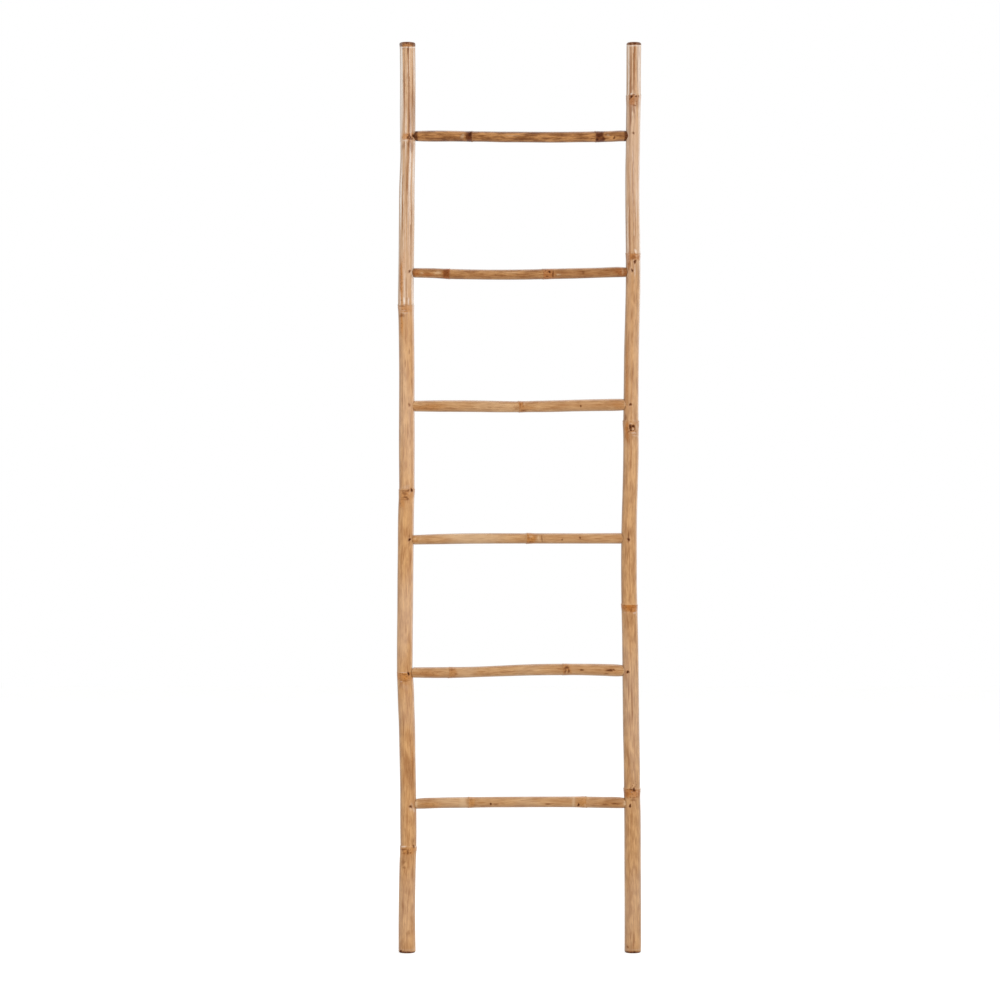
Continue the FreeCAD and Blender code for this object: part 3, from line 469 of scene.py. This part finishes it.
def spots(along, turn, radius, marks):
    """The greatest of the marks' own spots, exp(-(d / w)^4), d being the distance in half sizes.

    The outline is uneven: w is 1 + 0.2 sin(2f + s) + 0.13 sin(3f + 2s) + 0.08 sin(5f + 3s), f being the
    direction from the mark's middle and s a number of the mark's own."""
    total = np.zeros((len(along), turn.size))
    for place, angle, half_round, half_long, depth in marks:
        aside = radius * ((turn - angle + math.pi) % (2 * math.pi) - math.pi) / half_round
        near = (np.abs(along - place) < 2 * half_long)[:, 0]
        ahead = (along[near] - place) / half_long
        way = np.arctan2(ahead, aside)
        own = 1000 * place + 7 * angle
        uneven = 1 + 0.2 * np.sin(2 * way + own) + 0.13 * np.sin(3 * way + 2 * own)
        uneven += 0.08 * np.sin(5 * way + 3 * own)
        off = (aside**2 + ahead**2) / uneven**2
        total[near] = np.maximum(total[near], depth * np.exp(-(off**2)))
    return total


def placed(table, locate):
    """A table's marks, their pixels turned into places on a culm and their sizes into metres."""
    return [
        (*locate(place_x(column), place_z(row)), half_round * MM, half_long * MM, depth)
        for column, row, half_round, half_long, depth in table
    ]


def painted(along, turn, radius, marks, ochres, bands):
    """The dark marks, the pale ones, and the bands with the ochre patches added."""
    dark = spots(along, turn, radius, [mark for mark in marks if mark[-1] > 0])
    pale = spots(along, turn, radius, [(*mark[:-1], -mark[-1]) for mark in marks if mark[-1] < 0])
    return dark, pale, np.maximum(bands, spots(along, turn, radius, ochres))


# Meshes
def grid(*parts):
    """Arrays over the same rows and columns as one grid of points, or of faces by their corners."""
    return np.stack(np.broadcast_arrays(*parts), axis=-1)


def add_object(name, data):
    piece = bpy.data.objects.new(name, data)
    bpy.context.scene.collection.objects.link(piece)
    return piece


def closed_skin(name, rings, fields, fibre):
    """A closed tube from rings of points, each joined to the next, whose first and last are fanned shut."""
    rows, columns = rings.shape[:2]
    points = np.concatenate([rings.reshape(-1, 3), rings[:1].mean(1), rings[-1:].mean(1)])
    number = np.arange(rows * columns).reshape(rows, columns)
    right = np.roll(number, -1, axis=1)
    quads = grid(number[:-1], right[:-1], right[1:], number[1:]).reshape(-1, 4)
    first, last = rows * columns, rows * columns + 1
    fans = np.concatenate([grid(right[0], number[0], first), grid(number[-1], right[-1], last)])
    # Six times the volume is the sum of the triangles' triple products, below 0 where they face inwards
    a, b, c = points[np.concatenate([quads[:, :3], quads[:, [0, 2, 3]], fans])].swapaxes(0, 1)
    if (a * np.cross(b, c)).sum() < 0:
        quads, fans = quads[:, ::-1], fans[:, ::-1]
    mesh = bpy.data.meshes.new(name)
    mesh.from_pydata(points.tolist(), [], quads.tolist() + fans.tolist())
    for label, values in fields.items():
        values = np.broadcast_to(values, (rows, columns))
        layer = mesh.attributes.new(label, "FLOAT", "POINT")
        ends = [values[0].mean(), values[-1].mean()]
        layer.data.foreach_set("value", np.concatenate([values.ravel(), ends]).astype(np.float32))
    layer = mesh.attributes.new("fibre", "FLOAT_VECTOR", "POINT")
    ends = [fibre[0].mean(0), fibre[-1].mean(0)]
    layer.data.foreach_set("vector", np.concatenate([fibre.reshape(-1, 3), ends]).astype(np.float32).ravel())
    mesh.shade_smooth()
    mesh.set_sharp_from_angle(angle=math.radians(50))
    return add_object(name, mesh)


def circle_turns(columns):
    return (np.arange(columns) * 2 * math.pi / columns)[None]


def dress(piece, node, material):
    piece.data.materials.append(material)
    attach(piece, "root")
    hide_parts(node)


# Poles
def pole_end_rows(diaphragm, edge, drop):
    """The rows of an open end, from the diaphragm out of the hollow and round to the outer wall.

    Each row is its height, how far out it is from the inner wall (0) to the outer one (1), how far its
    ring is shrunk towards the axis, and its inset. The edge is a quarter of an ellipse."""
    rows = [(diaphragm, 0, share, 0) for share in (0.25, 0.6, 0.85)]
    rows += [(diaphragm + (edge - diaphragm) * share, 0, 1, 0) for share in (0, 0.02, 0.1, 0.3, 0.6, 0.85, 0.97)]
    rows += [(edge, share, 1, RIM_ROUNDING * share) for share in (0, 0.2, 0.45, 0.7, 0.9)]
    for angle in np.linspace(0, math.pi / 2, 8)[:-1]:
        rows.append((edge + drop * (1 - math.cos(angle)), 1, 1, RIM_ROUNDING * (1 - math.sin(angle))))
    return rows


def make_pole(name, tables, nails, rim, scraped_from, material):
    """A culm whose radius is half its width plus its nodes, cut to flats where it was scraped.

    Gives back its heights, the middle of its axis and its reach from the axis, for the rungs to fit against."""
    outline, nodes, marks, ochres, shares = tables
    rows_px, middles, widths = np.array(outline).T
    knots = place_z(rows_px)[::-1]
    middle_knots = place_x(middles)[::-1]
    scars = place_z([node[0] for node in nodes])
    nail_places = []
    for nail, stain in nails:
        low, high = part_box(nail)
        nail_places.append(((low.x + high.x) / 2, (low.z + high.z) / 2, stain))
    low_rows = pole_end_rows(scars[-1] - DIAPHRAGM_GAP, 0, FOOT_DROP)
    high_rows = pole_end_rows(scars[0] + DIAPHRAGM_GAP, LADDER_HEIGHT, -TOP_DROP)[::-1]
    short = [place_z(mark[1]) for mark in marks if mark[3] < SHORT_MARK]
    focuses = [*scars, *(z for _, z, _ in nail_places), *short, 0, LADDER_HEIGHT]
    outer = [(height, 1, 1, 0) for height in stations(FOOT_DROP, LADDER_HEIGHT - TOP_DROP, focuses)]
    heights, outward, shrink, inset = np.array([*low_rows, *outer, *high_rows], float).T[..., None]
    turn = circle_turns(POLE_COLUMNS)
    across = np.cos(turn)

    middle = smooth_curve(heights, knots, middle_knots)
    girth = smooth_curve(heights, knots, widths[::-1] * PIXEL / 2)
    rise, bands, lines = node_fields(heights, turn, nodes, scars)
    strength = smooth_step(heights, scraped_from - 0.08, scraped_from + 0.02)
    flats = [(-math.acos(place), tone) for place, tone in shares] + chance_flats(8, math.pi, (0.25, 0.75))
    shape, tone, ridge_highlight = scraped_flats(heights, turn, 0.35 + 0.65 * strength, flats)
    skin = girth * (1 + 0.004 * ripple(heights, turn, 7, 0.12)) * shape + rise
    mean = girth.mean()

    def locate(x, z):
        lean = (x - smooth_curve(z, knots, middle_knots)) / mean
        return z, -math.acos(np.clip(lean, -0.98, 0.98))

    stains = [(*locate(x, z), *NAIL_STAIN, stain) for x, z, stain in nail_places]
    spread = placed(marks, locate) + scattered(POLE_CHANCES, scars, 1, (0.02, 1.86))
    spread += [(height, angle, *NAIL_HALO) for height, angle, *_ in stains]
    dark, pale, bands = painted(heights, turn, mean, spread, placed(ochres, locate), bands)
    stain = spots(heights, turn, mean, stains)
    pits = dark * smooth_step(dark, *PIT_DEPTHS)
    skin -= 0.7 * MM * stain**2 + 0.45 * MM * pits - 0.25 * MM * pale * (1 - stain)

    rim_length, rim_middle = rim
    from_top = LADDER_HEIGHT - heights
    edge = rim_length * (1 + 0.03 * np.sin(2 * turn + 1) + 0.03 * np.sin(5 * turn))
    edge = edge + FRONT_DIP * np.maximum(-np.sin(turn), 0)
    top = 1 - smooth_step(from_top, 0.8 * edge, 1.05 * edge)
    foot = 1 - smooth_step(heights + 1.2 * MM * np.sin(2 * turn + 2), *FOOT_BURN)
    centre = rim_middle * (1 - smooth_step(np.abs(across), 0.5, 0.78)) * smooth_step(from_top, 3.8 * MM, 5.8 * MM)
    burnt = np.maximum(top * (0.8 - 0.3 * centre), 0.85 * foot)
    bands = np.maximum(bands, top * centre)
    # painted highlight: a pale line just under the browned top rim
    pale = np.maximum(pale, 0.7 * bell(from_top - 1.14 * edge, MM))
    pale = np.maximum(pale, 0.12 * bell(heights - 8 * MM, 1.6 * MM))

    hollow = girth - POLE_WALL + 0.4 * MM * ripple(heights, turn, 4, 0.3)
    radius = (outward * skin + (1 - outward) * hollow) * shrink - inset
    rings = grid(middle + radius * across, radius * np.sin(turn), heights)
    fibre = rings - grid(middle, 0, 0)
    bare = 0.03 + 0.12 * smooth_step(heights, 0.8, 1.2) + 0.85 * strength
    cut = 1 - outward * (inset < 0.6 * RIM_ROUNDING)
    values = bands, lines, dark, pale * (1 - 0.8 * stain), stain, bare, tone, ridge_highlight, burnt, cut
    dress(closed_skin(f"{name}_culm", rings, dict(zip(FIELDS, values)), fibre), name, material)
    return heights[:, 0], middle[:, 0], skin.max(1)


# Rungs
def make_rung(number, poles, necks, material):
    """A culm laid across, each end hollowed to fit against its pole, with a tenon going into it.

    An end that meets a pole of radius R is carried towards it by R - sqrt(R^2 - y^2) at depth y."""
    name = f"rung_{number}"
    columns_px, rows_px, widths = np.array(RUNGS_PX[number]).T
    nodes, marks, ochres = RUNG_NODES[number], RUNG_MARKS[number], RUNG_OCHRES[number]
    low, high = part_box(name)
    knots, level_knots = place_x(columns_px), place_z(rows_px)
    sides = []
    for inward, level, (heights, middle, reach) in zip((1, -1), level_knots[[0, -1]], poles):
        near = np.abs(heights - level) < RUNG_REACH
        axis = np.interp(level, heights[1:-1], middle[1:-1])
        sides.append((axis, (inward * (middle[near] - axis) + reach[near]).max() + RUNG_GAP))
    (left_axis, left_reach), (right_axis, right_reach) = sides
    left, right = left_axis + left_reach, right_axis - right_reach
    scars = -place_x([node[0] for node in nodes])
    short = [place_x(mark[0]) for mark in marks if mark[3] < SHORT_MARK]
    along = stations(low.x, high.x, [*-scars, *short, left, right], coarsest=3 * MM)
    steps = [place + side * 0.01 * MM for place in (left, right) for side in (-1, 1)]
    along = np.unique(np.concatenate([along, steps]))[:, None]
    turn = circle_turns(RUNG_COLUMNS)
    level = smooth_curve(along, knots, level_knots)
    girth = smooth_curve(along, knots, widths * PIXEL / 2)
    nodes = [(column, swelling, 0.55 * abs(band), band, tone, 0.5) for column, swelling, band, tone in nodes]
    rise, bands, lines = node_fields(-along, turn, nodes, scars)
    flats = chance_flats(11, 2 * math.pi, (-0.3, 0.3))
    shape, tone, ridge_highlight = scraped_flats(along, turn, 0.45, flats)
    skin = girth * shape * (1 + 0.005 * ripple(along, turn, 7, 0.09)) + rise
    inner = np.minimum(along - left, right - along)
    worn = RUNG_BEVEL * (1 - np.sqrt(1 - (1 - np.clip(inner / RUNG_BEVEL, 0, 1)) ** 2))
    radius = np.where(inner > 0, skin - worn, np.minimum(skin, TENON_RADIUS))
    radius = radius * np.where(np.minimum(along - low.x, high.x - along) < TENON_TIP, 0.93, 1)
    mean = girth.mean()

    def locate(x, z):
        lean = (z - smooth_curve(x, knots, level_knots)) / mean
        return x, math.asin(np.clip(lean, -0.95, 0.95))

    spread = placed(marks, locate) + scattered(RUNG_CHANCES, scars, -1, (left, right))
    dark, pale, bands = painted(along, turn, mean, spread, placed(ochres, locate), bands)
    relief = 0.35 * MM * dark * smooth_step(dark, *PIT_DEPTHS) - 0.2 * MM * pale
    radius = radius - relief * (inner > 4 * MM)

    y, z = -radius * np.cos(turn), level + radius * np.sin(turn)
    at_left = along < (left + right) / 2
    fitted = np.where(inner > 0, 1 - smooth_step(inner, 0, 7 * MM), 1 - smooth_step(-inner, 0, 6 * MM))
    reach = np.where(at_left, left_reach, right_reach)
    x = along - np.where(at_left, 1, -1) * fitted * (reach - np.sqrt(reach**2 - y**2))
    neck = 0
    for (shade, length), away in zip(necks, (along - left, right - along)):
        neck = np.maximum(neck, shade * (1 - smooth_step(away, 0.55 * length * MM, length * MM)))
    values = bands * (inner > 0), lines, dark, pale, 0, 0, tone, ridge_highlight, neck, 0
    piece = closed_skin(f"{name}_culm", grid(x, y, z), dict(zip(FIELDS, values)), grid(y, z - level, x))
    dress(piece, name, material)


# Nails
def make_nail(name, material):
    """A flat wire nail along y: a low dome, a rolled edge, a shank and a point.

    Its section is an ellipse squared up by raising its cosine to the power 0.6."""
    low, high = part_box(name)
    aside, level = (low.x + high.x) / 2, (low.z + high.z) / 2
    wide, head = (high.x - low.x) / 2, (high.z - low.z) / 2
    profile = [(0.15, 0), (0.45, 0.02), (0.7, 0.06), (0.88, 0.12), (0.97, 0.2), (1, 0.32), (0.95, 0.42)]
    rows = [(wide * share, head * share, low.y + head * depth) for share, depth in profile]
    rows += [(0.96 * wide, 0.55 * head, depth) for depth in (low.y + head * 0.5, high.y - NAIL_POINT)]
    rows += [(0.1 * wide, 0.06 * head, high.y)]
    turn = circle_turns(NAIL_COLUMNS)
    across, up, depth = np.array(rows).T[..., None]
    dented = 1 - 0.03 * (1 + wave(turn, 3)) / 2
    squared = np.sign(np.cos(turn)) * np.abs(np.cos(turn)) ** 0.6
    rings = grid(aside + across * squared, depth, level + up * np.sin(turn) * dented)
    dress(closed_skin(f"{name}_wire", rings, {}, rings), name, material)


# Materials
def linear(red, green, blue):
    """A colour picked on the screen's scale, as the shader's linear one."""
    def channel(value):
        value /= 255
        return value / 12.92 if value <= 0.04045 else ((value + 0.055) / 1.055) ** 2.4
    return (channel(red), channel(green), channel(blue), 1)


def put(tree, value, socket):
    """A number, colour or vector is set on the socket itself, and an output is linked to it."""
    if isinstance(value, (int, float, tuple)):
        socket.default_value = value
    else:
        tree.links.new(value, socket)


def feed(tree, node, values):
    for label, value in values.items():
        put(tree, value, node.inputs[label])
    return node.outputs


def new_material(name):
    material = bpy.data.materials.new(name)
    material.use_nodes = True
    return material, material.node_tree, material.node_tree.nodes["Principled BSDF"]


def noise(tree, source, scale, detail):
    """Noise over the source, its waves 1 / scale long each way."""
    mapped = feed(tree, tree.nodes.new("ShaderNodeMapping"), {"Vector": source, "Scale": scale})
    numbers = {"Scale": 1, "Detail": detail, "Roughness": 0.55}
    return feed(tree, tree.nodes.new("ShaderNodeTexNoise"), {"Vector": mapped["Vector"], **numbers})["Fac"]


def maths(tree, operation, first, second, third=None, clamp=False):
    node = tree.nodes.new("ShaderNodeMath")
    node.operation = operation
    node.use_clamp = clamp
    for value, socket in zip((first, second, third), node.inputs):
        if value is not None:
            put(tree, value, socket)
    return node.outputs[0]


def span(tree, value, low, high, start=0, end=1):
    node = tree.nodes.new("ShaderNodeMapRange")
    node.interpolation_type = "SMOOTHSTEP"
    numbers = {"From Min": low, "From Max": high, "To Min": start, "To Max": end}
    return feed(tree, node, {"Value": value, **numbers})["Result"]


def mix(tree, factor, first, second):
    node = tree.nodes.new("ShaderNodeMix")
    node.data_type = "RGBA"
    for value, index in ((factor, 0), (first, 6), (second, 7)):
        put(tree, value, node.inputs[index])
    return node.outputs[2]


def bamboo_group():
    """Bamboo skin: fibre streaks, scraped flats, node bands, scars, knots, nail stains and browned ends, with painted
    highlights on the flats, their ridges and the pale marks, and painted shade among the dark marks.
    """
    tree = bpy.data.node_groups.new("bamboo_skin", "ShaderNodeTree")
    sockets = (
        ("INPUT", "Color", ("Pale", "Deep", "Scraped", "White", "Stripe", "Band", "Rust", "Brown")),
        ("INPUT", "Float", ("Streaks", "Mottle", "Flecks")),
        ("OUTPUT", "Color", ("Color",)),
        ("OUTPUT", "Float", ("Roughness", "Wax", "Height")),
    )
    for way, kind, labels in sockets:
        for label in labels:
            tree.interface.new_socket(label, in_out=way, socket_type=f"NodeSocket{kind}")
    given = tree.nodes.new("NodeGroupInput").outputs

    def field(label, output="Fac"):
        node = tree.nodes.new("ShaderNodeAttribute")
        node.attribute_name = label
        return node.outputs[output]

    ramp = partial(span, tree)
    times, scaled, most, minus = (
        partial(maths, tree, operation) for operation in ("MULTIPLY", "MULTIPLY_ADD", "MAXIMUM", "SUBTRACT")
    )

    def off(pattern, amount, onto):
        return scaled(minus(pattern, 0.5), amount, onto)

    def over(color, factor, label):
        return mix(tree, factor, color, given[label])

    band, scar, dark, pale, stain, scrape, tone, ridge_highlight, burnt, cut = (field(label) for label in FIELDS)
    fibre = field("fibre", "Vector")
    # Waves to a metre across the fibres and along them, and detail
    patterns = (170, 9, 2), (480, 40, 3), (1700, 50, 2), (85, 30, 4), (760, 75, 2), (900, 700, 2), (330, 330, 3)
    broad, streak, thread, patch, fleck, grit, blot = (
        noise(tree, fibre, (across, across, along), detail) for across, along, detail in patterns
    )

    lean = off(streak, times(given["Streaks"], 2.6), 0.5)
    lean = off(broad, 1.1, lean)
    lean = off(thread, 0.5, lean)
    lean = off(patch, times(given["Mottle"], 2.2), lean)
    color = mix(tree, scaled(tone, 0.12, lean, clamp=True), given["Deep"], given["Pale"])
    color = over(color, times(scrape, scaled(broad, 0.8, 0.45), clamp=True), "Scraped")
    # painted highlight: the ridges between flats are lifted toward White, and the paler flats are partly bare scraped
    # skin and partly painted highlight where a facet catches the light
    light = most(ramp(scaled(broad, 0.9, tone), 0.7, 1.5), times(ridge_highlight, 0.55))
    color = over(color, times(light, scrape), "White")
    shade = ramp(minus(times(streak, 1.2), tone), 0.75, 1.55)
    color = over(color, times(times(shade, 0.9), scrape), "Stripe")
    dashes = times(ramp(fleck, 0.54, 0.7), given["Flecks"])
    color = over(color, dashes, "Stripe")

    grain = mix(tree, ramp(grit, 0.35, 0.65), given["Pale"], given["Deep"])
    color = mix(tree, times(cut, 0.85), color, grain)
    cloud = ramp(scaled(patch, 0.6, times(blot, 0.4)), 0.36, 0.58, 0.55, 1)
    color = over(color, times(band, cloud), "Band")
    color = over(color, times(times(ramp(blot, 0.56, 0.64), band), 0.55), "Brown")
    # the pale marks, among them painted highlights, lift the colour toward White
    color = over(color, times(pale, 0.85), "White")
    color = over(color, times(scar, ramp(blot, 0.4, 0.6, 0.1, 0.65)), "Brown")
    singe = times(burnt, ramp(blot, 0.32, 0.62, 0.6, 1))
    # the dark marks, among them painted shade, with the nail stains and browned ends, darken the colour toward Rust and
    # Brown
    dark_marks_and_painted_shade = times(dark, ramp(grit, 0.3, 0.62, 0.8, 1))
    dark_marks_and_painted_shade = most(most(dark_marks_and_painted_shade, stain), singe)
    color = over(color, dark_marks_and_painted_shade, "Rust")
    color = over(color, maths(tree, "POWER", dark_marks_and_painted_shade, 1.8), "Brown")

    gloss = scaled(cut, 0.35, scaled(thread, 0.16, 0.32))
    bare = most(dark, most(stain, burnt))
    height = scaled(thread, 0.5, times(streak, 0.4))
    height = scaled(grit, scaled(cut, 0.8, 0.15), height)
    feed(tree, tree.nodes.new("NodeGroupOutput"), {
        "Color": color, "Roughness": scaled(dark, 0.25, gloss, clamp=True),
        "Wax": scaled(bare, -0.9, 1, clamp=True), "Height": scaled(dashes, -1, height),
    })
    return tree


def bamboo(name, group, colors, mottle=1.15, flecks=0.4, wax=2.2):
    """The bamboo skin on its shader. Its thin wax shows where the skin turns away, as Coat Weight."""
    material, tree, shader = new_material(name)
    node = tree.nodes.new("ShaderNodeGroup")
    node.node_tree = group
    picked = {label: linear(*color) for label, color in colors.items()}
    skin = feed(tree, node, {**picked, "Streaks": 0.8, "Mottle": mottle, "Flecks": flecks})
    bump = {"Strength": 0.45, "Distance": 0.35 * MM, "Height": skin["Height"]}
    turned = feed(tree, tree.nodes.new("ShaderNodeLayerWeight"), {"Blend": 0.5})
    waxed = maths(tree, "MULTIPLY", turned["Facing"], skin["Wax"])
    feed(tree, shader, {
        "Base Color": skin["Color"], "Roughness": skin["Roughness"], "Specular IOR Level": 0.09,
        "Normal": feed(tree, tree.nodes.new("ShaderNodeBump"), bump)["Normal"],
        "Coat Weight": maths(tree, "MULTIPLY", waxed, wax, clamp=True), "Coat Roughness": 0.3,
    })
    return material


def darkened_steel():
    material, tree, shader = new_material("darkened_steel")
    where = tree.nodes.new("ShaderNodeTexCoord").outputs["Object"]
    rust = span(tree, noise(tree, where, (1600, 1600, 1600), 3), 0.42, 0.68)
    feed(tree, shader, {
        "Base Color": mix(tree, rust, linear(46, 18, 4), linear(78, 36, 10)), "Specular IOR Level": 0.05,
        "Metallic": maths(tree, "MULTIPLY_ADD", rust, -0.04, 0.05),
        "Roughness": maths(tree, "MULTIPLY_ADD", rust, 0.35, 0.42),
    })
    return material


# Studio
def make_floor():
    corners = [(-9, -9, 0), (9, -9, 0), (9, 9, 0), (-9, 9, 0)]
    mesh = bpy.data.meshes.new("floor")
    mesh.from_pydata(corners, [], [(0, 1, 2, 3)])
    floor = add_object("floor", mesh)
    material, tree, shader = new_material("pale_floor")
    where = tree.nodes.new("ShaderNodeTexCoord").outputs["Object"]
    seen = tree.nodes.new("ShaderNodeLightPath").outputs["Is Camera Ray"]
    pattern = noise(tree, where, (3, 3, 3), 3)
    feed(tree, shader, {
        "Base Color": mix(tree, pattern, linear(226, 226, 225), linear(232, 232, 231)),
        "Roughness": 0.75, "Specular IOR Level": 0.1, "Emission Color": (1, 1, 1, 1),
        "Emission Strength": maths(tree, "MULTIPLY", seen, 0.5),
    })
    mesh.materials.append(material)


def make_light(name, place, target, size, power):
    light = bpy.data.lights.new(name, "AREA")
    light.shape = "DISK"
    light.size = size
    light.energy = power
    lamp = add_object(name, light)
    lamp.location = place
    aim = np.array(target) - np.array(place)
    aim /= np.linalg.norm(aim)
    lamp.rotation_euler = (math.acos(-aim[2]), 0, math.atan2(aim[1], aim[0]) - math.pi / 2)


def make_studio():
    scene = bpy.context.scene
    scene.view_settings.view_transform = "Standard"
    scene.world = bpy.data.worlds.new("white_room")
    scene.world.use_nodes = True
    tree = scene.world.node_tree
    room = feed(tree, tree.nodes["Background"], {"Color": (1, 1, 1, 1), "Strength": 0.62})
    seen = feed(tree, tree.nodes.new("ShaderNodeBackground"), {"Color": (1, 1, 1, 1)})
    either = tree.nodes.new("ShaderNodeMixShader")
    ray = tree.nodes.new("ShaderNodeLightPath").outputs["Is Camera Ray"]
    for index, output in enumerate((ray, room["Background"], seen["Background"])):
        tree.links.new(output, either.inputs[index])
    tree.links.new(either.outputs["Shader"], tree.nodes["World Output"].inputs["Surface"])
    make_light("key_softbox", (1.6, -3.5, 2.4), (0, 0, 1), 2.2, 76)
    make_light("fill_softbox", (-2.2, -2.6, 1.9), (0, 0, 0.9), 2.4, 18)
    make_light("rim_softbox", (3.2, 2.6, 1.3), (0, 0, 0.95), 2.4, 26)
    make_light("top_softbox", (0.2, 1.5, 4.3), (0, 0, 0.9), 2.4, 26)
    make_floor()


def make_camera():
    camera = bpy.data.cameras.new("camera")
    camera.sensor_width = SENSOR_WIDTH
    camera.lens = SENSOR_WIDTH * CAMERA_DISTANCE / (PICTURE_PX * PIXEL)
    holder = add_object("camera", camera)
    holder.location = (place_x(PICTURE_PX / 2), -CAMERA_DISTANCE, place_z(PICTURE_PX / 2))
    holder.rotation_euler = (math.pi / 2, 0, 0)
    bpy.context.scene.camera = holder


def main():
    make_camera()
    make_studio()
    skin = bamboo_group()
    base = dict(Scraped=(202, 165, 130), White=(236, 224, 212), Stripe=(146, 98, 58), Rust=(142, 82, 38))
    base["Brown"] = (58, 21, 2)
    left = dict(base, Pale=(210, 161, 108), Deep=(176, 124, 76), Band=(190, 126, 62))
    right = dict(base, Pale=(204, 157, 107), Deep=(166, 119, 75), Band=(176, 110, 48))
    # Colours, the browned rim's length and whether its middle is paler, and the height it is scraped from
    sides = (
        ("left", LEFT_POLE, LEFT_STAIN_SHARES, left, (8.8 * MM, 1), 1.39),
        ("right", RIGHT_POLE, RIGHT_STAIN_SHARES, right, (5.4 * MM, 0), 1.47),
    )
    poles = []
    for side, tables, stains, colors, rim, scraped_from in sides:
        nails = [(f"nail_{number}_{side}", stain) for number, stain in enumerate(stains, 1)]
        material = bamboo(f"{side}_pole_bamboo", skin, colors)
        poles.append(make_pole(f"{side}_pole", tables, nails, rim, scraped_from, material))

    base["White"] = (225, 199, 164)
    tan = dict(base, Pale=(199, 156, 110), Deep=(165, 117, 72), Band=(174, 114, 56))
    gold, honey = dict(tan, Band=(194, 134, 70)), dict(tan, Band=(184, 122, 56))
    amber = dict(base, Pale=(184, 136, 88), Deep=(142, 92, 48), Band=(160, 86, 26), Stripe=(116, 68, 32))
    umber = dict(base, Pale=(188, 134, 82), Deep=(120, 72, 32), Band=(98, 46, 10), Stripe=(88, 48, 20))
    amber["Rust"], umber["Rust"] = (128, 70, 26), (100, 50, 14)
    # Colours, mottle, flecks, and the shade and length in mm of the browned necks, left and right
    plain = ((0, 3), (0, 3))
    looks = {
        6: (umber, 1.5, 0.7, ((0.85, 6.2), (0.85, 5.4))),
        5: (amber, 1.2, 0.65, ((0.45, 4.5), (0.4, 8))),
        4: (tan, 0.9, 0.45, plain), 3: (honey, 0.8, 0.4, plain),
        2: (tan, 0.9, 0.45, plain), 1: (gold, 0.85, 0.45, plain),
    }
    for number, (colors, mottle, flecks, necks) in looks.items():
        make_rung(number, poles, necks, bamboo(f"rung_{number}_bamboo", skin, colors, mottle, flecks, 2.6))
    steel = darkened_steel()
    for number in range(1, 7):
        for side in ("left", "right"):
            make_nail(f"nail_{number}_{side}", steel)


main()
bpy.context.view_layer.update()
